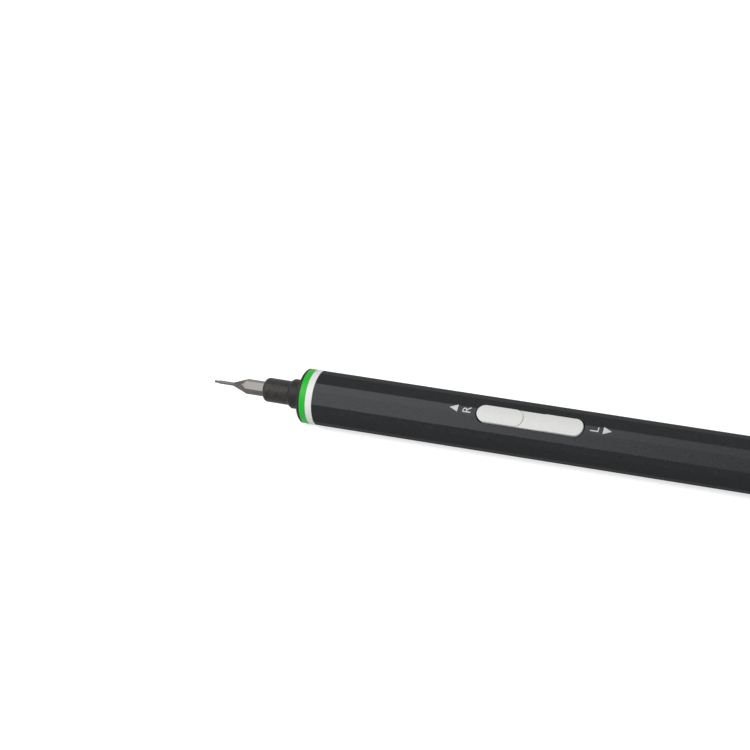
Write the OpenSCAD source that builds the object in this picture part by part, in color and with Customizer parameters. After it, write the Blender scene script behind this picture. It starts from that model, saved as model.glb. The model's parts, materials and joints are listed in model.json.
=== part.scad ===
// Pen-shaped electric torque screwdriver with a 4 mm hex chuck.
// The pen lies along X with its bit towards -X and rests on one narrow flat of the barrel.
// Stations along the pen are counted from the front end of the barrel, positive towards the tail.

/* [Barrel] */
// Diameter across the corners of the faceted barrel
barrel_corner_d = 16.5; // [16.4:0.1:18]
// Width of each of the eight narrow flats
narrow_flat_w = 2.4; // [1.8:0.1:3]
// Bore of the barrel tube
barrel_bore_d = 13.8; // [13.7:0.1:14.2]
// Length of the barrel
barrel_l = 146; // [144:1:170]
// Length of the turned chamfer at each barrel end
barrel_chamfer_l = 0.2; // [0.1:0.05:0.4]

/* [Rings and nose] */
// Diameter of the two rings, the nose flange and the tail cap
ring_d = 16.2; // [15.6:0.1:16.4]
// Width of the white ring
white_ring_w = 2.05; // [1.5:0.05:3]
// Width of the green ring
green_ring_w = 1.95; // [1.5:0.05:3]
// Thickness of the nose flange
flange_w = 1; // [0.6:0.1:1.5]
// Bevel on the front edge of the nose flange
flange_bevel = 0.4; // [0.2:0.1:0.5]
// Diameter of the collar on the nose
collar_d = 8.8; // [8.6:0.1:10]
// Length of the collar in front of the nose flange
collar_l = 4.6; // [4:0.1:7]
// Length of the bevel at the front of the collar
collar_bevel_l = 0.8; // [0.5:0.1:2]
// Depth of the bevel at the front of the collar
collar_bevel_h = 0.55; // [0.3:0.05:0.6]
// Length of the nose sleeve that grips the motor
sleeve_grip_l = 4; // [2:0.5:8]

/* [Chuck and bit] */
// Diameter of the chuck
chuck_d = 7.2; // [7:0.1:7.4]
// Length of the chuck in front of the collar
chuck_out_l = 8.3; // [6:0.1:12]
// Radius of the rounded front edge of the chuck
chuck_round_r = 1.2; // [0.6:0.1:1.2]
// Width across the flats of the hex bit
bit_af = 4; // [3.8:0.05:4.1]
// Length of the whole bit
bit_l = 28; // [26:0.5:34]
// Length of the bit in front of the chuck
bit_out_l = 16.5; // [15:0.1:17]
// Length of the needle shank of the bit with its tip
needle_l = 6; // [4:0.1:8]
// Diameter of the needle shank
needle_d = 1.05; // [0.9:0.05:1.5]
// Length of the cone between needle and hex
bit_cone_l = 4.7; // [3:0.1:6]
// Diameter over the lobes of the bit tip
tip_d = 0.8; // [0.7:0.05:0.9]
// Length of the lobed bit tip
tip_l = 1.1; // [0.6:0.1:2]
// Bevel at the rear end of the bit
bit_bevel = 0.4; // [0.2:0.1:0.6]
// Turn of the bit's hexagon at rest, in degrees
bit_turn = -6; // [-30:1:30]
// Diameter of the magnet under the bit
magnet_d = 3.9; // [3:0.1:3.9]
// Thickness of the magnet under the bit
magnet_l = 2; // [1:0.1:2.5]
// Thickness of the chuck behind the magnet
chuck_floor = 1.8; // [1.5:0.1:3]
// Diameter of the chuck's rear shank
shank_d = 5; // [4.8:0.1:5.2]
// Length of the chuck's shank behind the retaining clip
shank_end_l = 1; // [0.6:0.1:2]

/* [Bearing] */
// Outer diameter of the ball bearing
bearing_od = 9; // [8.8:0.1:9.2]
// Width of the ball bearing
bearing_w = 3; // [2.5:0.1:4]
// Thickness of each bearing race
race_t = 0.6; // [0.45:0.05:0.65]
// Diameter of the bearing balls
ball_d = 1.2; // [0.9:0.05:1.25]
// Number of bearing balls
ball_count = 9; // [6:1:11]
// Thickness of the retaining clip
clip_t = 0.6; // [0.4:0.1:0.8]
// Outer diameter of the retaining clip
clip_d = 7.2; // [6.6:0.1:7.4]
// Depth of the clip groove
clip_groove_h = 0.4; // [0.2:0.05:0.5]

/* [Gearbox] */
// Gear module
gear_module = 0.25; // [0.24:0.005:0.255]
// Teeth of each sun gear
sun_teeth = 9; // [9:3:9]
// Teeth of each planet gear
planet_teeth = 15; // [15:3:15]
// Diameter of the gearbox tube and the motor
drive_d = 12; // [11.8:0.1:12.1]
// Face width of the output planets
output_gear_w = 2.5; // [2:0.1:4]
// Face width of the input planets
input_gear_w = 2.2; // [1.8:0.1:4]
// Thickness of the output carrier
output_carrier_t = 1; // [0.8:0.1:1.5]
// Thickness of the first-stage carrier
first_carrier_t = 0.8; // [0.6:0.1:1.2]
// Diameter of the planet pins
planet_pin_d = 1; // [0.8:0.05:1.2]
// Diameter of the output shaft
output_shaft_d = 3; // [2.6:0.1:3.2]
// Depth of the flat on the output shaft
shaft_flat_h = 0.4; // [0.2:0.05:0.6]
// Length of the output shaft in front of its carrier
output_shaft_l = 5.8; // [4:0.1:6]
// Thickness of the gearbox cover
cover_t = 1.2; // [1:0.1:2]
// Thickness of the plate between gearbox and motor
motor_plate_t = 1; // [0.9:0.1:1.5]

/* [Motor] */
// Length of the motor can with its end cap
motor_l = 20; // [16:1:24]
// Wall of the motor can
can_wall = 0.6; // [0.4:0.1:0.8]
// Diameter of the motor shaft
motor_shaft_d = 1; // [0.8:0.1:1.1]
// Diameter of the boss on the motor's front
motor_boss_d = 4; // [3.4:0.1:4.4]
// Height of the boss on the motor's front
motor_boss_h = 0.6; // [0.4:0.1:0.8]
// Diameter of the motor's inner magnet
stator_d = 6.8; // [5.5:0.1:7]
// Outer diameter of the rotor winding
winding_d = 9.6; // [9:0.1:10]
// Thickness of the rotor winding
winding_t = 0.8; // [0.5:0.1:0.9]
// Thickness of the motor's end cap
end_cap_t = 1.2; // [1:0.1:2]
// Distance between the centres of the two motor screws
motor_screw_pitch = 8; // [7.6:0.1:8.4]
// Thread diameter of the motor screws
motor_screw_d = 1.4; // [1.2:0.1:1.6]
// Length of the motor terminals behind the end cap
terminal_l = 2.4; // [1.5:0.1:4]
// Distance of each motor terminal from the axis
terminal_offset = 3; // [2.5:0.1:3.5]

/* [Rocker switch] */
// Angle of the rocker from straight up, towards the front side
rocker_angle = 45; // [45:45:45]
// Length of the rocker
rocker_l = 32.2; // [30:0.2:34]
// Width of the rocker
rocker_w = 5.1; // [4.8:0.1:5.4]
// Length of the lower saddle between the finger pads
saddle_l = 4.2; // [3:0.2:8]
// Height of the finger pads over the narrow flat
pad_h = 0.5; // [0.4:0.05:0.8]
// Height of the saddle over the narrow flat
saddle_h = 0.2; // [0.1:0.05:0.25]
// Gap between the rocker and its opening
rocker_gap = 0.3; // [0.25:0.05:0.5]
// Station of the rocker's pivot
rocker_s = 66.65; // [62:0.1:72]
// Height of the pivot over the pen's axis
pivot_h = 4.9; // [4.7:0.05:5]
// Diameter of the pivot pin
pivot_d = 1.2; // [1:0.1:1.3]
// Thickness of the rocker's plate under the barrel surface
rocker_plate_t = 1.9; // [1.6:0.1:2.2]
// Wall left around the pockets under the finger pads
rocker_wall = 0.9; // [0.7:0.1:1.2]
// Distance of each tactile switch from the rocker's end
switch_inset = 6.1; // [5:0.1:8]

/* [Inner frame and boards] */
// Wall of the inner frame beside the control board
frame_wall = 1; // [0.8:0.1:1.2]
// Height of the control board's underside over the axis
board_seat_h = 2.6; // [2.4:0.05:2.7]
// Thickness of the boards
board_t = 0.8; // [0.6:0.1:1]
// Width of the control board
board_w = 11.4; // [11:0.1:11.5]
// Station of the control board's front edge
board_s = 44; // [42:0.5:48]
// Length of the control board
board_l = 45; // [42:0.5:45.5]
// Thickness of the ears that carry the pivot pin
ear_t = 0.9; // [0.7:0.1:1]
// Width of the pivot ears along the pen
ear_w = 2.8; // [2.4:0.1:3.2]
// Side length of the tactile switches
tact_w = 3; // [2.6:0.1:3.4]
// Height of the tactile switch bases
tact_h = 1.2; // [1:0.1:1.3]
// Diameter of the switch plungers
plunger_d = 1.4; // [1.2:0.1:1.8]
// Height of the plungers over their bases at rest
plunger_h = 0.5; // [0.4:0.05:0.6]
// Thickness of the frame's cross walls
bulkhead_t = 1; // [0.8:0.1:1.5]
// Side length of the controller chip
controller_w = 5; // [3:0.5:6]
// Side length of each driver transistor
driver_w = 3; // [2:0.5:4]
// Side length of the coil
coil_w = 4; // [3:0.5:5]
// Thickness of the chips
chip_t = 0.9; // [0.6:0.1:1.2]
// Height of the coil
coil_t = 1.6; // [1:0.1:2]
// Room between the parts on the control board
part_room = 3; // [2:0.5:4]

/* [Battery and leads] */
// Diameter of the lithium cell
cell_d = 10; // [9.6:0.1:10.4]
// Room behind the lithium cell for its tab and lead
tail_room = 2.8; // [1.5:0.1:6]
// Diameter of the cell's positive button
cell_button_d = 3.2; // [2.4:0.1:4]
// Height of the cell's positive button
cell_button_h = 0.8; // [0.5:0.1:1]
// Thickness of the nickel tabs
tab_t = 0.2; // [0.15:0.05:0.3]
// Width of the nickel tabs
tab_w = 4; // [3:0.5:5]
// Outer diameter of the leads
lead_d = 0.9; // [0.7:0.05:1]

/* [Charging port and tail] */
// Length of the tail cap behind the barrel
tail_cap_l = 4; // [3:0.5:8]
// Radius of the tail cap's rounded edge
tail_round_r = 1; // [0.5:0.1:1.5]
// Length of the tail cap's spigot in the barrel
spigot_l = 8; // [7.5:0.1:8]
// Wall of the tail cap's spigot
spigot_wall = 0.85; // [0.7:0.05:1]
// Thickness of the tail cap's end wall
tail_wall = 2; // [1:0.1:2.5]
// Width of the charging receptacle
usb_w = 8.94; // [8.94:0.01:9]
// Height of the charging receptacle
usb_h = 3.26; // [3.2:0.01:3.3]
// Length of the charging receptacle
usb_l = 7.35; // [6.5:0.05:8]
// Wall of the receptacle's shell
usb_wall = 0.3; // [0.2:0.05:0.35]
// Setback of the receptacle's mouth from the tail face
usb_setback = 0.4; // [0.2:0.1:0.8]
// Width of the charging board
charge_board_w = 9.8; // [9.4:0.1:10.2]

/* [Clearances] */
// Radial clearance of pieces pushed into one another
fit_gap = 0.05; // [0.03:0.01:0.08]
// Radial clearance of turning shafts, gears and pins
run_gap = 0.04; // [0.03:0.01:0.06]
// Clearance between faces that pass each other
side_gap = 0.2; // [0.15:0.01:0.3]
// Clearance of the chuck in the collar
collar_gap = 0.1; // [0.08:0.01:0.15]
// Thinning of each gear flank for backlash
flank_gap = 0.016; // [0.012:0.001:0.02]

/* [Hidden] */
$fn = 64;

// Faceted outline of the barrel
flat_count = 8;
flat_step = 360 / flat_count;
barrel_corner_r = barrel_corner_d / 2;
narrow_half_angle = asin(narrow_flat_w / barrel_corner_d);
narrow_apothem = barrel_corner_r * cos(narrow_half_angle);
bore_r = barrel_bore_d / 2;
ring_r = ring_d / 2;
insert_r = bore_r - fit_gap;

// Stations of the nose, the chuck and the bit
green_s = -white_ring_w - green_ring_w;
nose_face_s = green_s - flange_w;
collar_s = nose_face_s - collar_l;
chuck_s = collar_s - chuck_out_l;
tip_s = chuck_s - bit_out_l;
bit_rear_s = tip_s + bit_l;
magnet_rear_s = bit_rear_s + magnet_l;
socket_bevel = 0.4;

// Stations of the bearing
bearing_s = magnet_rear_s + chuck_floor;
bearing_rear_s = bearing_s + bearing_w;
clip_rear_s = bearing_rear_s + clip_t;
shank_rear_s = clip_rear_s + shank_end_l;
shank_r = shank_d / 2;
bearing_r = bearing_od / 2;
ball_pitch_r = (shank_r + bearing_r) / 2;
groove_play = 0.02;

// Stations of the gearbox
drive_r = drive_d / 2;
sleeve_bore_r = drive_r + fit_gap;
cover_s = shank_rear_s + 2 * side_gap;
gear_front_s = cover_s + cover_t;
output_carrier_s = gear_front_s + side_gap;
output_gear_s = output_carrier_s + output_carrier_t + side_gap;
output_gear_rear_s = output_gear_s + output_gear_w;
first_carrier_s = output_gear_rear_s + side_gap;
input_gear_s = first_carrier_s + first_carrier_t + side_gap;
input_gear_rear_s = input_gear_s + input_gear_w;
motor_plate_s = input_gear_rear_s + 2 * side_gap;
output_shaft_s = output_carrier_s - output_shaft_l;

// Involute gears: the tip of each gear stops where its mate's involute begins
pressure_angle = 20;
planet_count = 3;
root_depth = 1.25 * gear_module;
ring_teeth = sun_teeth + 2 * planet_teeth;
sun_pitch_r = gear_module * sun_teeth / 2;
planet_pitch_r = gear_module * planet_teeth / 2;
ring_pitch_r = gear_module * ring_teeth / 2;
planet_orbit_r = sun_pitch_r + planet_pitch_r;
contact_reach = planet_orbit_r * sin(pressure_angle);
sun_tip_r = sun_pitch_r + gear_module;
planet_tip_r = norm([planet_pitch_r * cos(pressure_angle), contact_reach]);
ring_tip_r = norm([ring_pitch_r * cos(pressure_angle), contact_reach]);
ring_turn = 180 / ring_teeth;
planet_turn = 180 - 180 / planet_teeth;
flank_steps = 3;
carrier_r = ring_tip_r - side_gap;
planet_pin_r = planet_pin_d / 2;
planet_bore_r = planet_pin_r + run_gap;
planet_colours = ["gainsboro", "silver", "lightgray"];

// Stations of the motor
motor_s = motor_plate_s + motor_plate_t;
motor_rear_s = motor_s + motor_l;
end_cap_s = motor_rear_s - end_cap_t;
motor_shaft_r = motor_shaft_d / 2;
motor_boss_r = motor_boss_d / 2;
stator_r = stator_d / 2;
winding_r = winding_d / 2;
motor_front_wall = 0.8;
motor_end_play = 0.5;
commutator_r = 1.6;
commutator_l = 1.2;
winding_disc_t = 0.8;
stator_s = motor_s + motor_front_wall;
commutator_rear_s = end_cap_s - motor_end_play;
winding_disc_s = commutator_rear_s - commutator_l - winding_disc_t;
winding_s = stator_s + motor_end_play;
stator_rear_s = winding_disc_s - motor_end_play;
screw_head_h = 0.5;
screw_head_d = 1.8 * motor_screw_d;
terminal_w = 1.5;
terminal_t = 0.3;
sleeve_rear_s = motor_s + sleeve_grip_l;

// Rocker switch, measured out from the pen's axis
pad_top_r = narrow_apothem + pad_h;
saddle_top_r = narrow_apothem + saddle_h;
rocker_base_h = narrow_apothem - rocker_plate_t;
pivot_r = pivot_d / 2;
board_top_h = board_seat_h + board_t;
lug_w = 4.6;
lug_l = 2.8;
lug_wall = 0.55;
foot_d = 1.8;
foot_h = board_top_h + tact_h + plunger_h + fit_gap;
switch_arm = rocker_l / 2 - switch_inset;
switch_offsets = [-switch_arm, switch_arm];
pad_l = (rocker_l - saddle_l) / 2;
pad_centre = (rocker_l - pad_l) / 2;

// Inner frame
frame_r = insert_r;
frame_s = motor_rear_s;
frame_bore_r = frame_r - frame_wall;
ear_top_h = pivot_h + pivot_r;
ear_out = lug_w / 2 + ear_t + side_gap + 0.4;
board_rear_s = board_s + board_l;
cell_wall_s = board_rear_s + side_gap;
cell_s = cell_wall_s + bulkhead_t + tab_t;
cell_r = cell_d / 2;
spigot_s = barrel_l - spigot_l;
cell_rear_s = spigot_s - tail_room;
cell_l = cell_rear_s - cell_s - cell_button_h;
cell_seat_r = cell_r + fit_gap;
ear_slot_gap = 0.15;

// Leads, laid on the cell
lead_r = lead_d / 2;
lead_lay_r = cell_r + fit_gap + lead_r;
lead_pad_h = board_top_h + lead_r;
lead_land_s = board_rear_s - 1.5;
lead_spread = 22;

// Tail cap and charging port
tail_s = barrel_l + tail_cap_l;
spigot_bore_r = insert_r - spigot_wall;
tail_wall_s = tail_s - tail_wall;
usb_mouth_s = tail_s - usb_setback;
usb_s = usb_mouth_s - usb_l;
charge_board_top_h = -usb_h / 2;
charge_board_seat_h = charge_board_top_h - board_t;
charge_board_s = spigot_s + 1;
tongue_w = 6.6;
tongue_t = 0.7;
tongue_setback = 0.6;
receptacle_floor = 1.2;

// Place of the pen in the part's frame: mid length over the origin, lowest flat at zero height
centre_s = (tip_s + tail_s) / 2;

// Cross-section plane x = across, y = up, and z = station along the pen
module on_axis(s = 0) {
    translate([s - centre_s, 0, narrow_apothem])
        rotate([90, 0, 90])
            children();
}

// The same plane turned so that y points out through the rocker
module under_rocker(s = 0) {
    on_axis(s)
        rotate([0, 0, rocker_angle])
            children();
}

// Turned piece: radius and station pairs spun round the pen's axis
module turned(profile) {
    rotate_extrude()
        polygon(profile);
}

module tube(outer_r, inner_r, length) {
    linear_extrude(length)
        difference() {
            circle(outer_r);
            circle(inner_r);
        }
}

// Quarter-round of a turned edge, from angle a0 to angle a1
function edge_arc(r, s, radius, a0, a1, steps = 5) =
    [for (i = [0:steps]) let (a = a0 + (a1 - a0) * i / steps) [r + radius * cos(a), s + radius * sin(a)]];

// Outline with alternating narrow and wide flats
function faceted_outline() =
    [for (i = [0:flat_count - 1], side = [-1, 1])
        let (a = flat_step * i + side * narrow_half_angle)
            barrel_corner_r * [cos(a), sin(a)]];

// Involute function in degrees for a point at radius r on a gear of base radius base_r
function involute(base_r, r) = let (a = acos(min(1, base_r / r))) tan(a) * 180 / PI - a;

// Half the angle that a tooth spans at radius r, thinned by gap at the pitch circle
function tooth_half_angle(teeth, r, gap) =
    let (pitch_r = gear_module * teeth / 2, base_r = pitch_r * cos(pressure_angle))
        90 / teeth - gap / pitch_r * 180 / PI + involute(base_r, pitch_r) - involute(base_r, max(r, base_r));

// One gear outline: each tooth rises from r0 to r1 in flank_steps chords and falls again
function gear_outline(teeth, r0, r1, gap) =
    [for (i = [0:teeth - 1], side = [-1, 1], k = [0:flank_steps])
        let (
            step = side < 0 ? k : flank_steps - k,
            r = r0 + (r1 - r0) * step / flank_steps,
            a = 360 / teeth * i + side * tooth_half_angle(teeth, r, gap)
        )
            r * [cos(a), sin(a)]];

module spur_gear(teeth, tip_r, width, hole_r) {
    linear_extrude(width)
        difference() {
            union() {
                circle(gear_module * teeth / 2 - root_depth);
                polygon(gear_outline(teeth, gear_module * teeth / 2 - root_depth, tip_r, flank_gap));
            }
            circle(hole_r);
        }
}

module planet_gear(width) {
    rotate(planet_turn)
        spur_gear(planet_teeth, planet_tip_r, width, planet_bore_r);
}

// Stadium seen from outside, as long as length along the pen and as wide as width
module stadium_block(length, width, low, high) {
    translate([0, low, 0])
        rotate([-90, 0, 0])
            linear_extrude(high - low) {
                square([width, length - width], center = true);
                for (end = [-1, 1])
                    translate([0, end * (length - width) / 2])
                        circle(d = width);
            }
}

// Box from its lowest corner to its highest corner
module block(low, high) {
    translate(low)
        cube(high - low);
}

// Direction of a lead at its point i, halfway between the runs on both sides
function unit(v) = v / norm(v);
function lead_direction(points, i) = unit(
    (i > 0 ? unit(points[i] - points[i - 1]) : [0, 0, 0])
    + (i < len(points) - 1 ? unit(points[i + 1] - points[i]) : [0, 0, 0]));

// Round lead swept through a list of points
module lead(points) {
    sides = 8;
    last = len(points) - 1;
    corners = [for (i = [0:last])
        let (along = lead_direction(points, i), u = unit(cross(along, [1, 0, 0])), v = cross(along, u))
            for (k = [0:sides - 1])
                let (a = 360 / sides * k)
                    points[i] + lead_r * (u * cos(a) + v * sin(a))];
    walls = [for (i = [0:last - 1], k = [0:sides - 1])
        let (a = i * sides + k, b = i * sides + (k + 1) % sides)
            for (face = [[a, a + sides, b + sides], [a, b + sides, b]])
                face];
    start = [for (k = [0:sides - 1]) k];
    end = [for (k = [sides - 1:-1:0]) last * sides + k];
    polyhedron(corners, concat([start], walls, [end]));
}

// Point on the cell's back for a lead that lies at angle a from straight above
function on_cell(a, s) = [-lead_lay_r * sin(a), lead_lay_r * cos(a), s];

// Aluminium tube with sixteen flats, a bored centre and the rocker's opening
module barrel() {
    color("#3b3d40")
        on_axis()
            difference() {
                intersection() {
                    linear_extrude(barrel_l)
                        polygon(faceted_outline());
                    turned([
                        [0, 0],
                        [ring_r, 0],
                        [barrel_corner_r + fit_gap, barrel_chamfer_l],
                        [barrel_corner_r + fit_gap, barrel_l - barrel_chamfer_l],
                        [ring_r, barrel_l],
                        [0, barrel_l]
                    ]);
                }
                translate([0, 0, -1])
                    cylinder(r = bore_r, h = barrel_l + 2, $fn = 96);
                translate([0, 0, rocker_s])
                    rotate([0, 0, rocker_angle])
                        stadium_block(rocker_l + 2 * rocker_gap, rocker_w + 2 * rocker_gap,
                            pivot_h, barrel_corner_d);
            }
}

module white_ring() {
    color("#ececea")
        on_axis(-white_ring_w)
            tube(ring_r, insert_r + fit_gap, white_ring_w);
}

module green_ring() {
    color("#35c13c")
        on_axis(green_s)
            tube(ring_r, insert_r + fit_gap, green_ring_w);
}

// Flange and collar in front, bearing seat and drive sleeve behind
module nose_cap() {
    collar_r = collar_d / 2;
    chuck_bore_r = chuck_d / 2 + collar_gap;
    color("#2c2d2f")
        on_axis()
            turned([
                [chuck_bore_r, collar_s],
                [collar_r - collar_bevel_h, collar_s],
                [collar_r, collar_s + collar_bevel_l],
                [collar_r, nose_face_s],
                [ring_r - flange_bevel, nose_face_s],
                [ring_r, nose_face_s + flange_bevel],
                [ring_r, green_s],
                [insert_r, green_s],
                [insert_r, sleeve_rear_s],
                [sleeve_bore_r, sleeve_rear_s],
                [sleeve_bore_r, cover_s],
                [bearing_r + fit_gap, cover_s],
                [bearing_r + fit_gap, bearing_s],
                [chuck_bore_r, bearing_s]
            ]);
}

// Closed tail with the charging port's opening, a spigot and a floor for the charging board
module tail_cap() {
    color("#2c2d2f")
        on_axis()
            difference() {
                turned(concat(
                    [[0, spigot_s], [insert_r, spigot_s], [insert_r, barrel_l], [ring_r, barrel_l]],
                    edge_arc(ring_r - tail_round_r, tail_s - tail_round_r, tail_round_r, 0, 90),
                    [[0, tail_s]]
                ));
                rotate([0, 0, rocker_angle]) {
                    intersection() {
                        translate([0, 0, spigot_s - 1])
                            cylinder(r = spigot_bore_r, h = tail_wall_s - spigot_s + 1, $fn = 96);
                        block([-bore_r, charge_board_seat_h, spigot_s - 1], [bore_r, bore_r, tail_s]);
                    }
                    translate([0, 0, tail_wall_s - 1])
                        usb_outline(usb_w + 2 * fit_gap, usb_h + 2 * fit_gap, tail_wall + 2);
                }
            }
}

// Rounded outline of the charging receptacle
module usb_outline(width, height, length) {
    linear_extrude(length) {
        square([width - height, height], center = true);
        for (side = [-1, 1])
            translate([side * (width - height) / 2, 0])
                circle(d = height);
    }
}

// Hexagon of the bit and its socket
module hexagon(flats, length) {
    rotate([0, 0, bit_turn])
        cylinder(d = flats / cos(30), h = length, $fn = 6);
}

// Round shaft with one flat, and the matching bore
module flatted_shaft(r, flat_at, length) {
    intersection() {
        cylinder(r = r, h = length);
        block([-r - 1, -r - 1, -1], [r + 1, flat_at, length + 1]);
    }
}

module chuck() {
    chuck_r = chuck_d / 2;
    socket_af = bit_af + 2 * run_gap;
    shaft_bore_r = output_shaft_d / 2 + fit_gap;
    color("#333436")
        on_axis()
            difference() {
                turned(concat(
                    [[0, chuck_s]],
                    edge_arc(chuck_r - chuck_round_r, chuck_s + chuck_round_r, chuck_round_r, -90, 0),
                    [
                        [chuck_r, bearing_s],
                        [shank_r - fit_gap, bearing_s],
                        [shank_r - fit_gap, bearing_rear_s],
                        [shank_r - clip_groove_h, bearing_rear_s],
                        [shank_r - clip_groove_h, clip_rear_s + groove_play],
                        [shank_r - fit_gap, clip_rear_s + groove_play],
                        [shank_r - fit_gap, shank_rear_s],
                        [0, shank_rear_s]
                    ]
                ));
                translate([0, 0, chuck_s - 1])
                    hexagon(socket_af, bit_rear_s - chuck_s + 1);
                translate([0, 0, bit_rear_s - 1])
                    cylinder(d = magnet_d + 2 * fit_gap, h = magnet_l + 1);
                turned([
                    [0, chuck_s - 1],
                    [socket_af / 2 + socket_bevel + 1, chuck_s - 1],
                    [socket_af / 2, chuck_s + socket_bevel],
                    [0, chuck_s + socket_bevel]
                ]);
                translate([0, 0, output_shaft_s - side_gap])
                    flatted_shaft(shaft_bore_r, output_shaft_d / 2 - shaft_flat_h + fit_gap,
                        shank_rear_s - output_shaft_s + side_gap + 1);
            }
}

module bit_magnet() {
    color("#c9cacb")
        on_axis(bit_rear_s)
            cylinder(d = magnet_d, h = magnet_l);
}

// Hex bit whose flats run out on the cone, with a needle shank and a five-lobed tip
module bit() {
    corner_r = bit_af / 2 / cos(30);
    needle_r = needle_d / 2;
    shank_s = tip_s + needle_l;
    lobe_r = tip_d * 0.17;
    lobe_pitch_r = tip_d / 2 - lobe_r;
    color("#9a9b9c")
        on_axis() {
            intersection() {
                translate([0, 0, tip_s])
                    hexagon(bit_af, bit_l);
                turned([
                    [0, tip_s + tip_l],
                    [tip_d / 2, tip_s + tip_l],
                    [needle_r, tip_s + tip_l + needle_r],
                    [needle_r, shank_s],
                    [corner_r, shank_s + bit_cone_l],
                    [corner_r, bit_rear_s - bit_bevel],
                    [corner_r - bit_bevel, bit_rear_s],
                    [0, bit_rear_s]
                ]);
            }
            translate([0, 0, tip_s])
                linear_extrude(tip_l + fit_gap) {
                    circle(lobe_pitch_r, $fn = 24);
                    for (i = [0:4])
                        rotate(72 * i)
                            translate([lobe_pitch_r, 0])
                                circle(lobe_r, $fn = 24);
                }
        }
}

// Spring clip, open on one side, in the groove behind the bearing
module retaining_clip() {
    mouth_w = shank_d - clip_groove_h;
    color("#a9aaab")
        on_axis(bearing_rear_s)
            linear_extrude(clip_t)
                difference() {
                    circle(d = clip_d);
                    circle(shank_r - clip_groove_h + groove_play);
                    translate([-mouth_w / 2, shank_r / 2])
                        square([mouth_w, clip_d]);
                }
}

// Race with a groove that the balls run in
module race(inner_r, outer_r, length) {
    difference() {
        tube(outer_r, inner_r, length);
        translate([0, 0, length / 2])
            rotate_extrude()
                translate([ball_pitch_r, 0])
                    circle(d = ball_d + run_gap, $fn = 32);
    }
}

module bearing_inner_race() {
    color("#b5b7b9")
        on_axis(bearing_s)
            race(shank_r, shank_r + race_t, bearing_w);
}

module bearing_outer_race() {
    color("#b5b7b9")
        on_axis(bearing_s)
            race(bearing_r - race_t, bearing_r, bearing_w);
}

module bearing_balls() {
    color("#d5d6d8")
        on_axis(bearing_s + bearing_w / 2)
            for (i = [0:ball_count - 1])
                rotate(360 / ball_count * i)
                    translate([ball_pitch_r, 0])
                        sphere(d = ball_d, $fn = 24);
}

// Front plate of the gearbox with a boss that holds the bearing in its seat
module gearbox_cover() {
    color("#b8922f")
        on_axis()
            turned([
                [output_shaft_d / 2 + run_gap, cover_s],
                [bearing_r - race_t, cover_s],
                [bearing_r - race_t, bearing_rear_s],
                [bearing_r, bearing_rear_s],
                [bearing_r, cover_s],
                [drive_r, cover_s],
                [drive_r, gear_front_s],
                [output_shaft_d / 2 + run_gap, gear_front_s]
            ]);
}

// Fixed internal gear shared by both stages
module ring_gear() {
    color("#8f9193")
        on_axis(gear_front_s)
            linear_extrude(motor_plate_s - gear_front_s)
                difference() {
                    circle(drive_r);
                    circle(ring_tip_r);
                    rotate(ring_turn + 180 / ring_teeth)
                        polygon(gear_outline(ring_teeth, ring_tip_r, ring_pitch_r + root_depth, -flank_gap));
                }
}

// Round plate with three planet pins behind it
module planet_carrier(thickness, pin_l) {
    cylinder(r = carrier_r, h = thickness);
    for (i = [0:planet_count - 1])
        rotate(360 / planet_count * i)
            translate([planet_orbit_r, 0])
                cylinder(r = planet_pin_r, h = thickness + pin_l, $fn = 32);
}

module output_carrier() {
    color("#a4a6a8")
        on_axis() {
            translate([0, 0, output_carrier_s])
                planet_carrier(output_carrier_t, side_gap + output_gear_w);
            translate([0, 0, output_shaft_s])
                flatted_shaft(output_shaft_d / 2, output_shaft_d / 2 - shaft_flat_h, output_shaft_l);
        }
}

module first_carrier() {
    sun_l = first_carrier_s - output_gear_s;
    color("#a4a6a8")
        on_axis() {
            translate([0, 0, first_carrier_s])
                planet_carrier(first_carrier_t, side_gap + input_gear_w);
            translate([0, 0, output_gear_s])
                linear_extrude(sun_l + first_carrier_t / 2) {
                    circle(sun_pitch_r - root_depth);
                    polygon(gear_outline(sun_teeth, sun_pitch_r - root_depth, sun_tip_r, flank_gap));
                }
        }
}

// Planet number i of a stage, counted from zero
module stage_planet(i, s, width) {
    color(planet_colours[i])
        on_axis(s)
            rotate(360 / planet_count * i)
                translate([planet_orbit_r, 0])
                    rotate(-360 / planet_count * i)
                        rotate(planet_phase(i))
                            planet_gear(width);
}

// Turn of planet i that puts its teeth in mesh with the sun and the ring
function planet_phase(i) = 360 / planet_count * i * (1 + sun_teeth / planet_teeth);

module output_planet_1() {
    stage_planet(0, output_gear_s, output_gear_w);
}

module output_planet_2() {
    stage_planet(1, output_gear_s, output_gear_w);
}

module output_planet_3() {
    stage_planet(2, output_gear_s, output_gear_w);
}

module input_planet_1() {
    stage_planet(0, input_gear_s, input_gear_w);
}

module input_planet_2() {
    stage_planet(1, input_gear_s, input_gear_w);
}

module input_planet_3() {
    stage_planet(2, input_gear_s, input_gear_w);
}

module motor_pinion() {
    color("#c9a23a")
        on_axis(input_gear_s)
            spur_gear(sun_teeth, sun_tip_r, input_gear_w + side_gap, motor_shaft_r);
}

// Plate that closes the gearbox and carries the motor on two countersunk screws
module motor_plate() {
    color("#9c9ea0")
        on_axis(motor_plate_s)
            difference() {
                tube(drive_r, motor_boss_r + fit_gap, motor_plate_t);
                for (side = [-1, 1])
                    translate([side * motor_screw_pitch / 2, 0])
                        countersunk_hole();
            }
}

module countersunk_hole() {
    translate([0, 0, -1])
        cylinder(d = motor_screw_d + 2 * fit_gap, h = motor_plate_t + 2);
    turned([
        [0, -fit_gap],
        [screw_head_d / 2 + fit_gap, -fit_gap],
        [screw_head_d / 2 + fit_gap, 0],
        [motor_screw_d / 2 + fit_gap, screw_head_h],
        [0, screw_head_h]
    ]);
}

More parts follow.
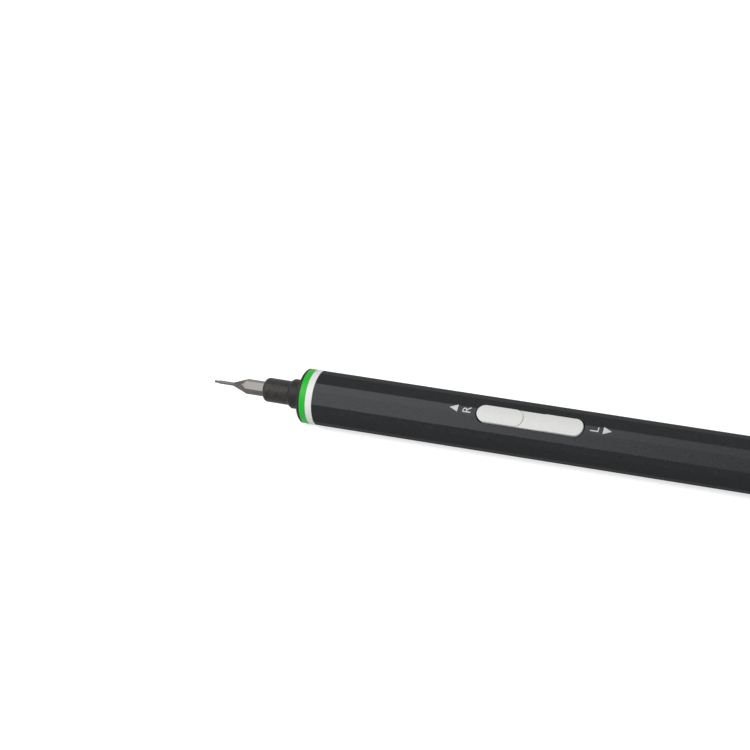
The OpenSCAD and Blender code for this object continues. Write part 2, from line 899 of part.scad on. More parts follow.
module motor_screws() {
    driver_slot_w = 0.3;
    color("#c4c5c7")
        on_axis(motor_plate_s)
            for (side = [-1, 1])
                translate([side * motor_screw_pitch / 2, 0])
                    difference() {
                        turned([
                            [0, 0],
                            [screw_head_d / 2, 0],
                            [motor_screw_d / 2, screw_head_h],
                            [motor_screw_d / 2, motor_plate_t + motor_front_wall],
                            [0, motor_plate_t + motor_front_wall]
                        ]);
                        for (turn = [0, 90])
                            rotate(turn)
                                block([-motor_screw_d / 2, -driver_slot_w / 2, -1],
                                    [motor_screw_d / 2, driver_slot_w / 2, screw_head_h / 2]);
                    }
}

// Steel cup with a front boss; its rear is closed by the end cap
module motor_can() {
    color("#b3b5b8")
        on_axis()
            difference() {
                union() {
                    translate([0, 0, motor_s])
                        cylinder(r = drive_r, h = end_cap_s - motor_s);
                    translate([0, 0, motor_s - motor_boss_h])
                        cylinder(r = motor_boss_r, h = motor_boss_h + fit_gap);
                }
                translate([0, 0, stator_s])
                    cylinder(r = drive_r - can_wall, h = motor_l);
                translate([0, 0, motor_s - motor_boss_h - 1])
                    cylinder(r = motor_shaft_r + run_gap, h = motor_l);
                for (side = [-1, 1])
                    translate([side * motor_screw_pitch / 2, 0, motor_s - 1])
                        cylinder(d = motor_screw_d + 2 * fit_gap, h = motor_front_wall + 2);
            }
}

module motor_magnet() {
    color("#5b5d60")
        on_axis(stator_s)
            tube(stator_r, motor_shaft_r + run_gap, stator_rear_s - stator_s);
}

// Shaft, commutator and hollow cup winding
module motor_rotor() {
    color("#b5652c")
        on_axis()
            turned([
                [0, input_gear_s],
                [motor_shaft_r, input_gear_s],
                [motor_shaft_r, winding_disc_s],
                [winding_r - winding_t, winding_disc_s],
                [winding_r - winding_t, winding_s],
                [winding_r, winding_s],
                [winding_r, winding_disc_s + winding_disc_t],
                [commutator_r, winding_disc_s + winding_disc_t],
                [commutator_r, commutator_rear_s],
                [motor_shaft_r, commutator_rear_s],
                [motor_shaft_r, end_cap_s + end_cap_t / 2],
                [0, end_cap_s + end_cap_t / 2]
            ]);
}

module motor_end_cap() {
    color("#27282a")
        on_axis(end_cap_s)
            difference() {
                cylinder(r = drive_r, h = end_cap_t);
                translate([0, 0, -1])
                    cylinder(r = motor_shaft_r + run_gap, h = end_cap_t * 0.6 + 1);
                for (side = [-1, 1])
                    rotate([0, 0, rocker_angle])
                        translate([side * terminal_offset, 0])
                            block([-terminal_w / 2, -terminal_t / 2, -1], [terminal_w / 2, terminal_t / 2, end_cap_t + 1]);
            }
}

module motor_terminals() {
    color("#c8a95a")
        under_rocker(end_cap_s)
            for (side = [-1, 1])
                translate([side * terminal_offset, 0])
                    block([-terminal_w / 2, -terminal_t / 2, 0], [terminal_w / 2, terminal_t / 2, end_cap_t + terminal_l]);
}

// Two leads from the terminals up to the front of the control board
module motor_leads() {
    rise_s = motor_rear_s + terminal_l;
    color("#b02a22")
        under_rocker()
            for (side = [-1, 1])
                lead([
                    [side * terminal_offset, terminal_t / 2 + lead_r, motor_rear_s + side_gap],
                    [side * terminal_offset, terminal_t / 2 + lead_r, rise_s],
                    [side * terminal_offset, lead_pad_h, board_s - terminal_l],
                    [side * terminal_offset, lead_pad_h, board_s + terminal_l]
                ]);
}

// Two raised finger pads on a lower saddle, a pivot lug and two feet over the switches
module rocker() {
    color("#e6e6e3")
        under_rocker(rocker_s)
            difference() {
                union() {
                    intersection() {
                        stadium_block(rocker_l, rocker_w, rocker_base_h, pad_top_r);
                        cylinder(r = saddle_top_r, h = rocker_l, center = true, $fn = 96);
                    }
                    intersection() {
                        for (end = [-1, 1])
                            translate([0, 0, end * pad_centre])
                                stadium_block(pad_l, rocker_w, rocker_base_h, pad_top_r);
                        cylinder(r = pad_top_r, h = rocker_l, center = true, $fn = 96);
                    }
                    block([-lug_w / 2, pivot_h, -lug_l / 2], [lug_w / 2, rocker_base_h + fit_gap, lug_l / 2]);
                    translate([0, pivot_h, 0])
                        rotate([0, 90, 0])
                            cylinder(r = pivot_r + lug_wall, h = lug_w, center = true);
                    for (at = switch_offsets)
                        translate([0, foot_h, at])
                            rotate([-90, 0, 0])
                                cylinder(d = foot_d, h = pad_top_r - foot_h - rocker_wall);
                }
                translate([0, pivot_h, 0])
                    rotate([0, 90, 0])
                        cylinder(r = pivot_r + run_gap, h = lug_w + 2, center = true);
                for (end = [-1, 1])
                    translate([0, 0, end * pad_centre])
                        difference() {
                            stadium_block(pad_l - 2 * rocker_wall, rocker_w - 2 * rocker_wall,
                                rocker_base_h - 1, saddle_top_r - rocker_wall);
                            translate([0, foot_h, end * (switch_arm - pad_centre)])
                                rotate([-90, 0, 0])
                                    cylinder(d = foot_d, h = pad_top_r);
                        }
            }
}

module rocker_pin() {
    color("#b9babc")
        under_rocker(rocker_s)
            translate([0, pivot_h, 0])
                rotate([0, 90, 0])
                    cylinder(r = pivot_r, h = 2 * ear_out, center = true);
}

// Trough under the board and round the cell, with cross walls and two ears for the pivot pin
module inner_frame() {
    color("#46484b")
        under_rocker()
            difference() {
                union() {
                    intersection() {
                        difference() {
                            translate([0, 0, frame_s])
                                cylinder(r = frame_r, h = spigot_s - frame_s, $fn = 96);
                            translate([0, 0, frame_s - 1])
                                cylinder(r = frame_bore_r, h = cell_wall_s - frame_s + 1, $fn = 96);
                            translate([0, 0, cell_wall_s + bulkhead_t])
                                cylinder(r = cell_seat_r, h = barrel_l, $fn = 96);
                            translate([0, 0, cell_wall_s - 1])
                                cylinder(d = cell_button_d, h = bulkhead_t + 2);
                        }
                        block([-bore_r, -bore_r, frame_s - 1], [bore_r, board_seat_h, barrel_l]);
                    }
                    intersection() {
                        translate([0, 0, rocker_s - ear_w / 2])
                            cylinder(r = frame_r - fit_gap, h = ear_w, $fn = 96);
                        union() {
                            block([-bore_r, -bore_r, 0], [bore_r, board_seat_h, barrel_l]);
                            for (side = [-1, 1])
                                translate([side * (ear_out - ear_t / 2), 0, 0])
                                    block([-ear_t / 2, board_seat_h - 1, 0], [ear_t / 2, ear_top_h, barrel_l]);
                        }
                    }
                }
                translate([0, pivot_h, rocker_s])
                    rotate([0, 90, 0])
                        cylinder(r = pivot_r + fit_gap / 2, h = barrel_bore_d, center = true);
            }
}

// Board with two slots that the pivot ears pass through
module control_board() {
    color("#1f6b3a")
        under_rocker()
            difference() {
                block([-board_w / 2, board_seat_h, board_s], [board_w / 2, board_top_h, board_rear_s]);
                for (side = [-1, 1])
                    translate([side * (ear_out - ear_t / 2), 0, rocker_s])
                        block([-ear_t / 2 - ear_slot_gap, 0, -ear_w / 2 - ear_slot_gap],
                            [ear_t / 2 + ear_slot_gap, board_top_h + 1, ear_w / 2 + ear_slot_gap]);
            }
}

// Controller and coil in front of the pivot and two driver transistors behind it, under the board
module board_parts() {
    coil_at = -ear_w / 2 - part_room - coil_w / 2;
    controller_at = coil_at - coil_w / 2 - part_room - controller_w / 2;
    driver_at = ear_w / 2 + part_room + driver_w / 2;
    color("#202123")
        under_rocker(rocker_s) {
            board_part(coil_at, coil_w, coil_t);
            board_part(controller_at, controller_w, chip_t);
            for (i = [0, 1])
                board_part(driver_at + i * (driver_w + part_room), driver_w, chip_t);
        }
}

module board_part(offset, width, height) {
    block([-width / 2, board_seat_h - height, offset - width / 2], [width / 2, board_seat_h, offset + width / 2]);
}

module tact_base(offset) {
    color("#2a2a2c")
        under_rocker(rocker_s + offset)
            difference() {
                block([-tact_w / 2, board_top_h, -tact_w / 2], [tact_w / 2, board_top_h + tact_h, tact_w / 2]);
                translate([0, board_top_h + tact_h / 3, 0])
                    rotate([-90, 0, 0])
                        cylinder(d = plunger_d + 2 * run_gap, h = tact_h);
            }
}

module tact_plunger(offset) {
    color("#e0d9c8")
        under_rocker(rocker_s + offset)
            translate([0, board_top_h + tact_h * 2 / 3, 0])
                rotate([-90, 0, 0])
                    cylinder(d = plunger_d, h = tact_h / 3 + plunger_h);
}

module forward_switch() {
    tact_base(-switch_arm);
}

module reverse_switch() {
    tact_base(switch_arm);
}

module forward_plunger() {
    tact_plunger(-switch_arm);
}

module reverse_plunger() {
    tact_plunger(switch_arm);
}

module battery_cell() {
    color("#3f6fa8")
        on_axis(cell_s) {
            cylinder(d = cell_button_d, h = cell_button_h);
            translate([0, 0, cell_button_h])
                cylinder(r = cell_r, h = cell_l);
        }
}

// Nickel strips on both ends of the cell
module battery_tabs() {
    color("#bfc1c3")
        under_rocker()
            for (s = [cell_s - tab_t, cell_rear_s])
                block([-tab_w / 2, -tab_w / 2, s], [tab_w / 2, cell_r - tab_w / 4, s + tab_t]);
}

// One lead from each end of the cell to the control board
module battery_leads() {
    tab_top_h = cell_r - tab_w / 4;
    rear_rise_s = cell_rear_s + tab_t + lead_r;
    color("#1e1f21")
        under_rocker() {
            lead([
                [lead_d, tab_top_h + lead_r, cell_s],
                [lead_d, lead_pad_h, board_rear_s],
                [lead_d, lead_pad_h, lead_land_s]
            ]);
            lead([
                [0, tab_top_h / 2, rear_rise_s],
                on_cell(0, rear_rise_s),
                on_cell(0, cell_s),
                [-lead_d - side_gap, lead_pad_h, board_rear_s],
                [-lead_d - side_gap, lead_pad_h, lead_land_s]
            ]);
        }
}

// Two leads from the charging board over the cell to the control board
module charge_leads() {
    port_h = charge_board_top_h + lead_r;
    port_x = lead_lay_r * sin(lead_spread);
    color("#c23a2b")
        under_rocker()
            for (side = [-1, 1])
                lead([
                    [-side * port_x, port_h, charge_board_s + 2],
                    [-side * port_x, port_h, charge_board_s + 1],
                    on_cell(side * lead_spread, cell_rear_s + 1.5),
                    on_cell(side * lead_spread, cell_s),
                    [-side * port_x * 2, lead_pad_h, board_rear_s],
                    [-side * port_x * 2, lead_pad_h, lead_land_s]
                ]);
}

module charge_board() {
    color("#1f6b3a")
        under_rocker()
            block([-charge_board_w / 2, charge_board_seat_h, charge_board_s],
                [charge_board_w / 2, charge_board_top_h, tail_wall_s]);
}

// Stamped shell of the charging receptacle, open at its mouth
module usb_receptacle() {
    color("#c7c9cb")
        under_rocker(usb_s)
            difference() {
                usb_outline(usb_w, usb_h, usb_l);
                translate([0, 0, receptacle_floor])
                    usb_outline(usb_w - 2 * usb_wall, usb_h - 2 * usb_wall, usb_l);
            }
}

module usb_tongue() {
    color("#1c1d1f")
        under_rocker(usb_s + receptacle_floor)
            block([-tongue_w / 2, -tongue_t / 2, 0],
                [tongue_w / 2, tongue_t / 2, usb_l - receptacle_floor - tongue_setback]);
}

barrel();
white_ring();
green_ring();
nose_cap();
tail_cap();
chuck();
bit_magnet();
retaining_clip();
bearing_inner_race();
output_carrier();
bit();
bearing_outer_race();
bearing_balls();
gearbox_cover();
ring_gear();
first_carrier();
output_planet_1();
output_planet_2();
output_planet_3();
input_planet_1();
input_planet_2();
input_planet_3();
motor_pinion();
motor_plate();
motor_screws();
motor_can();
motor_magnet();
motor_rotor();
motor_end_cap();
motor_terminals();
motor_leads();
rocker();
rocker_pin();
inner_frame();
control_board();
board_parts();
forward_switch();
reverse_switch();
forward_plunger();
reverse_plunger();
battery_cell();
battery_tabs();
battery_leads();
charge_leads();
charge_board();
usb_receptacle();
usb_tongue();
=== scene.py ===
import json
import math

import bpy
from mathutils import Matrix, Vector


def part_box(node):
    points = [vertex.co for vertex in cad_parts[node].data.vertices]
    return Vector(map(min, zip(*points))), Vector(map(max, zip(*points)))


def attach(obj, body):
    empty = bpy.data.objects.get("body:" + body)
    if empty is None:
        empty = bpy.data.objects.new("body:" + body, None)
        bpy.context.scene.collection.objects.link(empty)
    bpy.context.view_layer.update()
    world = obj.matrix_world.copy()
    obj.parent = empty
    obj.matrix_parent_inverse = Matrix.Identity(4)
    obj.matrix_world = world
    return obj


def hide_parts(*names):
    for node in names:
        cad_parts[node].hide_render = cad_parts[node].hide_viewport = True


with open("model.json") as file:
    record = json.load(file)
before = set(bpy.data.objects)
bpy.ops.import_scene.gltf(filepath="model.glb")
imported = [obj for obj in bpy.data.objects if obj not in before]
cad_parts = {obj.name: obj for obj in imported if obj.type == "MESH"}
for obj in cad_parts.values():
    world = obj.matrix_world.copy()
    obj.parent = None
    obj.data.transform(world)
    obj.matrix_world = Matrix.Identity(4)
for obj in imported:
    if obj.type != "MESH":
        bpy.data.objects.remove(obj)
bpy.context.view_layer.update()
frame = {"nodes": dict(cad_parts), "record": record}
MM = 0.001
bpy.context.scene.view_settings.view_transform = "Standard"

# Places along the pen, as the frame gives them. The pen's axis runs along X at the height of
# the barrel's middle, and the bit points to the low end of X.
barrel_low, barrel_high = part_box("barrel")
barrel_front = barrel_low.x
axis_height = (barrel_low.z + barrel_high.z) / 2

# Camera: a long lens that looks down on the front flank from the tail side, so that the
# rings are seen from behind and the tail runs out of view.
camera_lens = 146.97
camera_sensor = 36
camera_near = 10 * MM
camera_azimuth = math.radians(21.84)
camera_elevation = math.radians(22.4)
camera_distance = 900.6 * MM
ring_aside = -15.68 * MM
ring_below = -6.74 * MM
look_back = Vector((
    math.sin(camera_azimuth) * math.cos(camera_elevation),
    -math.cos(camera_azimuth) * math.cos(camera_elevation),
    math.sin(camera_elevation),
))
look_right = Vector((math.cos(camera_azimuth), math.sin(camera_azimuth), 0))
look_up = look_back.cross(look_right)
ring_centre = Vector((barrel_front, 0, axis_height))
camera_data = bpy.data.cameras.new("camera")
camera_data.lens = camera_lens
camera_data.sensor_width = camera_sensor
camera_data.clip_start = camera_near
camera = bpy.data.objects.new("camera", camera_data)
bpy.context.collection.objects.link(camera)
camera_turn = Matrix((look_right, look_up, look_back)).transposed()
camera_place = ring_centre + look_back * camera_distance - look_right * ring_aside - look_up * ring_below
camera.matrix_world = Matrix.Translation(camera_place) @ camera_turn.to_4x4()
bpy.context.scene.camera = camera


# Floor: a wide white bench top. Seen directly it glows enough to read as white, and in a
# reflection a little less, and it keeps the soft shadow under the pen.
def ray_level(tree, seen, reflected, otherwise):
    """Socket with one level for camera rays, one for mirrored or refracted rays, one for the rest."""
    path = tree.nodes.new("ShaderNodeLightPath")
    either = tree.nodes.new("ShaderNodeMath")
    either.operation = "MAXIMUM"
    tree.links.new(path.outputs["Is Glossy Ray"], either.inputs[0])
    tree.links.new(path.outputs["Is Transmission Ray"], either.inputs[1])
    mirrored = tree.nodes.new("ShaderNodeMix")
    mirrored.inputs["A"].default_value = otherwise
    mirrored.inputs["B"].default_value = reflected
    tree.links.new(either.outputs[0], mirrored.inputs["Factor"])
    direct = tree.nodes.new("ShaderNodeMix")
    direct.inputs["B"].default_value = seen
    tree.links.new(mirrored.outputs["Result"], direct.inputs["A"])
    tree.links.new(path.outputs["Is Camera Ray"], direct.inputs["Factor"])
    return direct.outputs["Result"]


floor_size = 6
floor_grey = (0.85, 0.85, 0.85, 1)
floor_roughness = 0.9
plain_white = (1, 1, 1, 1)
floor_seen_glow = 0.68
floor_mirrored_glow = 0.4
bpy.ops.object.select_all(action="DESELECT")
bpy.ops.mesh.primitive_plane_add(size=floor_size, location=(0, 0, 0))
floor = bpy.context.object
floor.name = "floor"
floor_paint = bpy.data.materials.new("floor_paint")
floor_paint.use_nodes = True
floor_tree = floor_paint.node_tree
floor_shader = floor_tree.nodes["Principled BSDF"]
floor_shader.inputs["Base Color"].default_value = floor_grey
floor_shader.inputs["Roughness"].default_value = floor_roughness
floor_shader.inputs["Specular IOR Level"].default_value = 0
floor_shader.inputs["Emission Color"].default_value = plain_white
floor_glow = ray_level(floor_tree, floor_seen_glow, floor_mirrored_glow, 0)
floor_tree.links.new(floor_glow, floor_shader.inputs["Emission Strength"])
floor.data.materials.append(floor_paint)

# Room light: an even pale surround. It lights the pen softly from all round, and is plain
# white where it is seen or mirrored.
room_level = 0.38
room_white = 1
world = bpy.data.worlds.new("studio")
bpy.context.scene.world = world
world.use_nodes = True
world_tree = world.node_tree
background = world_tree.nodes["Background"]
background.inputs["Color"].default_value = plain_white
room_glow = ray_level(world_tree, room_white, room_white, room_level)
world_tree.links.new(room_glow, background.inputs["Strength"])

# Key light: a large softbox in front of the nose, low enough for the two flats beside the
# rocker to mirror it. It ends beside the rocker, so the flats darken towards the tail.
key_place = Vector((-250, -330, 330)) * MM
key_aim = Vector((-20, 0, 8)) * MM
key_width = 400 * MM
key_height = 500 * MM
key_power = 1.9
key_data = bpy.data.lights.new("softbox", "AREA")
key_data.shape = "RECTANGLE"
key_data.size = key_width
key_data.size_y = key_height
key_data.energy = key_power
key = bpy.data.objects.new("softbox", key_data)
bpy.context.collection.objects.link(key)
key_turn = (key_place - key_aim).to_track_quat("Z", "Y").to_matrix().to_4x4()
key.matrix_world = Matrix.Translation(key_place) @ key_turn


# Barrel: an extruded and bored aluminium tube with sixteen flats. It is bead-blasted and
# anodised dark grey, and its long edges are slightly broken.
noise_low = 0.35
noise_high = 0.65
noise_detail = 3
bump_strength = 0.4
least_roughness = 0.02


def grained_finish(name, colour, roughness, metallic=0.0, specular=0.5, grain=2500, spread=0.12,
        polish_spread=0.05, relief=0.02, stretch=(1, 1, 1), rim=1):
    """Procedural surface: fine grain in the colour, in the gloss and in the relief."""
    finish = bpy.data.materials.new(name)
    finish.use_nodes = True
    tree = finish.node_tree
    shader = tree.nodes["Principled BSDF"]
    shader.inputs["Metallic"].default_value = metallic
    shader.inputs["Specular IOR Level"].default_value = specular
    shader.inputs["Specular Tint"].default_value = (rim, rim, rim, 1)
    place = tree.nodes.new("ShaderNodeTexCoord")
    mapping = tree.nodes.new("ShaderNodeMapping")
    mapping.inputs["Scale"].default_value = stretch
    tree.links.new(place.outputs["Object"], mapping.inputs["Vector"])
    noise = tree.nodes.new("ShaderNodeTexNoise")
    noise.inputs["Scale"].default_value = grain
    noise.inputs["Detail"].default_value = noise_detail
    tree.links.new(mapping.outputs["Vector"], noise.inputs["Vector"])
    speckle = tree.nodes.new("ShaderNodeMapRange")
    speckle.inputs["From Min"].default_value = noise_low
    speckle.inputs["From Max"].default_value = noise_high
    tree.links.new(noise.outputs["Fac"], speckle.inputs["Value"])
    tint = tree.nodes.new("ShaderNodeMix")
    tint.data_type = "RGBA"
    tint.inputs["A"].default_value = (*(c * (1 - spread) for c in colour), 1)
    tint.inputs["B"].default_value = (*(min(1, c * (1 + spread)) for c in colour), 1)
    tree.links.new(speckle.outputs["Result"], tint.inputs["Factor"])
    tree.links.new(tint.outputs["Result"], shader.inputs["Base Color"])
    polish = tree.nodes.new("ShaderNodeMapRange")
    polish.inputs["To Min"].default_value = max(least_roughness, roughness - polish_spread)
    polish.inputs["To Max"].default_value = min(1, roughness + polish_spread)
    tree.links.new(speckle.outputs["Result"], polish.inputs["Value"])
    tree.links.new(polish.outputs["Result"], shader.inputs["Roughness"])
    bump = tree.nodes.new("ShaderNodeBump")
    bump.inputs["Strength"].default_value = bump_strength
    bump.inputs["Distance"].default_value = relief * MM
    tree.links.new(speckle.outputs["Result"], bump.inputs["Height"])
    tree.links.new(bump.outputs["Normal"], shader.inputs["Normal"])
    return finish


merge_gap = 0.001
flat_angle = 0.3
smooth_angle = 35
edge_segments = 3


def eased_copy(node, name, edge_width, edge_angle):
    """Copy of a CAD node's mesh with whole faces, whose edges sharper than the angle are broken."""
    piece = bpy.data.objects.new(name, frame["nodes"][node].data.copy())
    bpy.context.collection.objects.link(piece)
    bpy.ops.object.select_all(action="DESELECT")
    piece.select_set(True)
    bpy.context.view_layer.objects.active = piece
    bpy.ops.mesh.customdata_custom_splitnormals_clear()
    bpy.ops.object.mode_set(mode="EDIT")
    bpy.ops.mesh.select_all(action="SELECT")
    bpy.ops.mesh.remove_doubles(threshold=merge_gap * MM)
    bpy.ops.mesh.dissolve_limited(angle_limit=math.radians(flat_angle))
    bpy.ops.object.mode_set(mode="OBJECT")
    bevel = piece.modifiers.new("broken_edges", "BEVEL")
    bevel.width = edge_width * MM
    bevel.segments = edge_segments
    bevel.limit_method = "ANGLE"
    bevel.angle_limit = math.radians(edge_angle)
    bpy.ops.object.modifier_apply(modifier=bevel.name)
    bpy.ops.object.shade_smooth_by_angle(angle=math.radians(smooth_angle))
    weigh = piece.modifiers.new("flat_faces", "WEIGHTED_NORMAL")
    weigh.keep_sharp = True
    bpy.ops.object.modifier_apply(modifier=weigh.name)
    return piece


def dress(piece, finish, body, slot, *nodes):
    """Gives a visible piece its finish, its body and the nodes it stands for; the slot argument is not used.
    """
    piece.data.materials.clear()
    piece.data.materials.append(finish)
    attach(piece, body)
    if nodes:
        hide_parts(*nodes)


# Each flat is turned 22.5 degrees from the next, so the edges between flats are broken too.
tube_edge_angle = 20
barrel_edge = 0.12
anodised = grained_finish("anodised_grey", colour=(0.0275, 0.029, 0.0305), roughness=0.36, metallic=1,
    grain=3500, spread=0.22, polish_spread=0.08, rim=0.65)
barrel_shell = eased_copy("barrel", "barrel_shell", barrel_edge, tube_edge_angle)
dress(barrel_shell, anodised, "housing", "barrel_black", "barrel")

# Colour rings: two moulded plastic rings that are pushed onto the nose cap's sleeve before
# it goes into the barrel, white next to the barrel and green in front of it.
ring_edge = 0.08
white_plastic = grained_finish("ring_white_plastic", colour=(0.82, 0.82, 0.81), roughness=0.4,
    specular=0.25, grain=1800, spread=0.02)
green_plastic = grained_finish("ring_green_plastic", colour=(0.016, 0.48, 0.026), roughness=0.4,
    specular=0.25, grain=1800, spread=0.05)
white_band = eased_copy("white_ring", "white_band", ring_edge, tube_edge_angle)
dress(white_band, white_plastic, "housing", "ring_white", "white_ring")
green_band = eased_copy("green_ring", "green_band", ring_edge, tube_edge_angle)
dress(green_band, green_plastic, "housing", "ring_green", "green_ring")

# Nose cap and tail cap: moulded in fine matt black nylon and pushed into the barrel's ends.
# The nose cap's collar carries the chuck, and the tail cap has the charging port's opening.
# The curved sides of these pieces are made of facets, and only sharper edges are broken.
form_edge_angle = 25
cap_edge = 0.12
matt_black = grained_finish("matt_black_nylon", colour=(0.0105, 0.0105, 0.0115), roughness=0.5,
    specular=0.26, grain=2200, spread=0.2, relief=0.04)
nose = eased_copy("nose_cap", "nose", cap_edge, form_edge_angle)
dress(nose, matt_black, "housing", "nose_black", "nose_cap")
tail = eased_copy("tail_cap", "tail", cap_edge, form_edge_angle)
dress(tail, matt_black, "housing", "nose_black", "tail_cap")

# Chuck: a turned steel spindle nose with a matt black coating that is worn brownish where
# fingers and bits rub it.
chuck_edge = 0.1
black_coating = grained_finish("chuck_black_coating", colour=(0.017, 0.0145, 0.012), roughness=0.47,
    specular=0.3, grain=1300, spread=0.75, polish_spread=0.15, relief=0.06)
chuck_nose = eased_copy("chuck", "chuck_nose", chuck_edge, form_edge_angle)
dress(chuck_nose, black_coating, "spindle", "chuck_black", "chuck")

# Bit: a 4 mm hex bit of hardened steel with a satin nickel finish. Its flats run out on the
# ground cone in front of them, and the needle ends in a five-lobed tip.
bit_edge = 0.1
nickel_satin = grained_finish("bit_satin_nickel", colour=(0.122, 0.115, 0.108), roughness=0.32, metallic=1,
    grain=1500, spread=0.15, polish_spread=0.08, stretch=(0.2, 1, 1))
hex_bit = eased_copy("bit", "hex_bit", bit_edge, form_edge_angle)
dress(hex_bit, nickel_satin, "bit_body", "bit_steel", "bit")

# Rocker: one white moulded button with two raised pads and a lower saddle between them. It
# tips on a pin under the saddle, and each end presses its own switch. It is a little shorter
# than its solid, so that the gap at each end shows as a dark line.
end_gap = 0.15
button_edge = 0.12
button_plastic = grained_finish("rocker_white_plastic", colour=(0.75, 0.75, 0.735), roughness=0.38,
    specular=0.25, grain=1500, spread=0.02)
button = eased_copy("rocker", "button", button_edge, form_edge_angle)
button_low, button_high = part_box("rocker")
button_middle = Vector(((button_low.x + button_high.x) / 2, 0, 0))
button_share = 1 - 2 * end_gap * MM / (button_high.x - button_low.x)
to_middle = Matrix.Translation(button_middle)
from_middle = Matrix.Translation(-button_middle)
button.data.transform(to_middle @ Matrix.Diagonal((button_share, 1, 1, 1)) @ from_middle)
dress(button, button_plastic, "rocker_button", "rocker_white", "rocker")

# Marks: R and L and two arrowheads, pad-printed in white ink on the narrow flat in line with
# the rocker. The letters' tops point to the bit, and each arrowhead points away from the rocker.
ink_height = 0.03
print_lift = 0.01
mark_raise = 0.35
letter_height = 2.5
letter_narrowing = 0.95
arrow_length = 2.55
arrow_half_width = 1.1
corner_round = 0.08
corner_segments = 3
corner_angle = 100
# Distances from the rocker's ends to the middles of the marks.
front_letter_gap = 3.05
tail_letter_gap = 3.15
front_arrow_gap = 6.68
tail_arrow_gap = 6.55
# The pen lies on a flat like the printed one, which is therefore as far from the axis.
print_tilt = math.radians(45)
facet_out = Vector((0, -math.sin(print_tilt), math.cos(print_tilt)))
facet_across = Vector((0, math.cos(print_tilt), math.sin(print_tilt)))
facet_height = axis_height
bitward = Vector((-1, 0, 0))
white_ink = grained_finish("white_print", colour=(0.62, 0.62, 0.61), roughness=0.6, grain=4000, spread=0.1)


def on_print_flat(place_x):
    """Frame on the printed flat at an X: its x runs up the flat, its y to the bit, its z outwards."""
    origin = Vector((place_x, 0, axis_height)) + facet_out * (facet_height + print_lift * MM)
    origin += facet_across * mark_raise * MM
    turn = Matrix((facet_across, bitward, facet_out)).transposed().to_4x4()
    return Matrix.Translation(origin) @ turn


def settle(piece, place):
    """Moves a piece's mesh to its place, so that the object itself stays at the origin."""
    piece.data.transform(place)
    piece.matrix_world = Matrix.Identity(4)


def printed_letter(character, name, place_x):
    """A letter in flat ink, centred on its own height and width."""
    bpy.ops.object.select_all(action="DESELECT")
    bpy.ops.object.text_add(location=(0, 0, 0))
    letter = bpy.context.object
    letter.data.body = character
    letter.data.extrude = ink_height * MM / 2
    letter.name = name
    bpy.ops.object.convert(target="MESH")
    letter = bpy.context.object
    corners = [v.co for v in letter.data.vertices]
    low = Vector((min(c.x for c in corners), min(c.y for c in corners), 0))
    high = Vector((max(c.x for c in corners), max(c.y for c in corners), 0))
    size = letter_height * MM / (high.y - low.y)
    flat_scale = Matrix.Diagonal((size * letter_narrowing, size, 1, 1))
    settle(letter, on_print_flat(place_x) @ flat_scale @ Matrix.Translation(-(low + high) / 2))
    return letter


# A three-sided disc of radius one measures this much from base to point, and across its half.
triangle_height = 1.5
triangle_half_width = math.cos(math.radians(30))


def printed_arrow(name, place_x, towards):
    """A solid arrowhead in flat ink: a three-sided disc drawn out to its width and length."""
    bpy.ops.object.select_all(action="DESELECT")
    bpy.ops.mesh.primitive_cylinder_add(vertices=3, radius=1, depth=ink_height * MM, location=(0, 0, 0))
    arrow = bpy.context.object
    arrow.name = name
    width_share = arrow_half_width * MM / triangle_half_width
    length_share = arrow_length * MM / triangle_height
    shape = Matrix.Diagonal((width_share, length_share, 1, 1))
    settle(arrow, on_print_flat(place_x) @ Matrix.Rotation(towards, 4, "Z") @ shape)
    corners = arrow.modifiers.new("round_corners", "BEVEL")
    corners.width = corner_round * MM
    corners.segments = corner_segments
    corners.limit_method = "ANGLE"
    corners.angle_limit = math.radians(corner_angle)
    bpy.ops.object.modifier_apply(modifier=corners.name)
    return arrow


to_bit = 0
to_tail = math.pi
for mark in (
    printed_letter("R", "mark_R", button_low.x - front_letter_gap * MM),
    printed_letter("L", "mark_L", button_high.x + tail_letter_gap * MM),
    printed_arrow("arrow_front", button_low.x - front_arrow_gap * MM, to_bit),
    printed_arrow("arrow_tail", button_high.x + tail_arrow_gap * MM, to_tail),
):
    dress(mark, white_ink, "housing", "rocker_white")

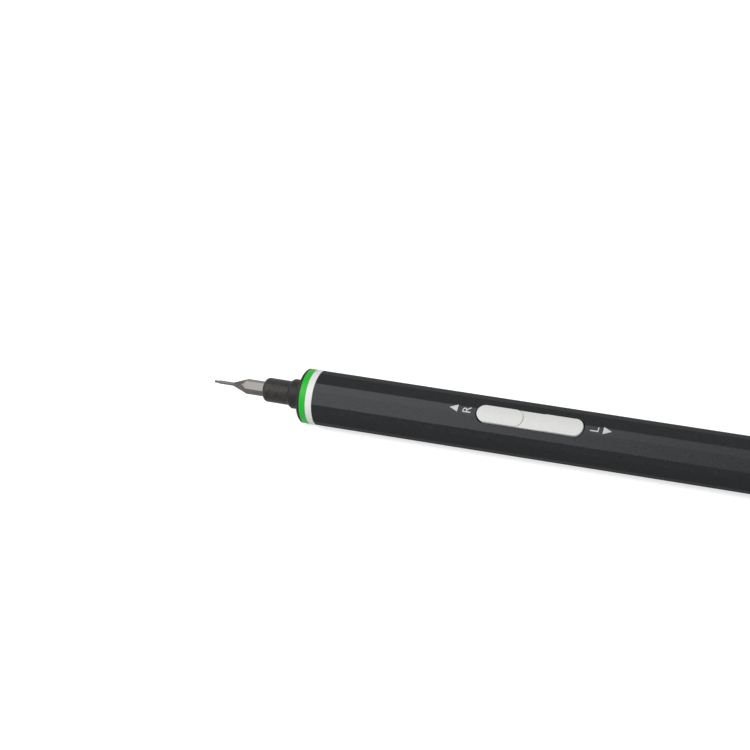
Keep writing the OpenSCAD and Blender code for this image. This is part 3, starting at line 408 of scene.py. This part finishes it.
# Inner parts: the drive, the boards, the cell and the port inside the closed barrel. Each
# keeps its CAD solid and gets the finish of its material, as do the solids that a visible
# piece stands for.
turned_steel = dict(metallic=1, grain=1200, spread=0.12, polish_spread=0.08, stretch=(0.15, 1, 1))
inner_finishes = {
    "steel": grained_finish("machined_steel", colour=(0.5, 0.51, 0.52), roughness=0.35, **turned_steel),
    "bright_steel": grained_finish("polished_steel", colour=(0.6, 0.6, 0.62), roughness=0.15,
        **turned_steel),
    "brass": grained_finish("machined_brass", colour=(0.56, 0.4, 0.13), roughness=0.3, **turned_steel),
    "magnet": grained_finish("nickel_plated_magnet", colour=(0.55, 0.55, 0.56), roughness=0.2, metallic=1,
        spread=0.05),
    "winding": grained_finish("enamelled_copper", colour=(0.45, 0.17, 0.05), roughness=0.3, metallic=0.8,
        grain=900, spread=0.5, relief=0.1, stretch=(0.2, 1, 1)),
    "frame_plastic": grained_finish("moulded_frame", colour=(0.07, 0.075, 0.08), roughness=0.55, spread=0.1),
    "board": grained_finish("solder_mask", colour=(0.02, 0.13, 0.05), roughness=0.35, grain=700, spread=0.4),
    "dark_plastic": grained_finish("dark_moulding", colour=(0.02, 0.02, 0.022), roughness=0.5, spread=0.2),
    "plunger": grained_finish("switch_plunger", colour=(0.7, 0.65, 0.55), roughness=0.45, spread=0.05),
    "cell_wrap": grained_finish("shrink_wrap", colour=(0.06, 0.17, 0.39), roughness=0.22, grain=250,
        spread=0.08),
    "nickel": grained_finish("nickel_plated_strip", colour=(0.52, 0.52, 0.53), roughness=0.28,
        **turned_steel),
    "lead_black": grained_finish("black_insulation", colour=(0.02, 0.02, 0.02), roughness=0.5, spread=0.15),
    "lead_red": grained_finish("red_insulation", colour=(0.45, 0.03, 0.02), roughness=0.5, spread=0.1),
}
outer_finishes = {
    "barrel_black": anodised,
    "ring_white": white_plastic,
    "ring_green": green_plastic,
    "nose_black": matt_black,
    "chuck_black": black_coating,
    "bit_steel": nickel_satin,
    "rocker_white": button_plastic,
}
slot_finishes = {**inner_finishes, **outer_finishes}
for part in frame["record"]["subparts"]:
    slots = frame["nodes"][part["node"]].data.materials
    slots.clear()
    slots.append(slot_finishes[part["material_slot"]])
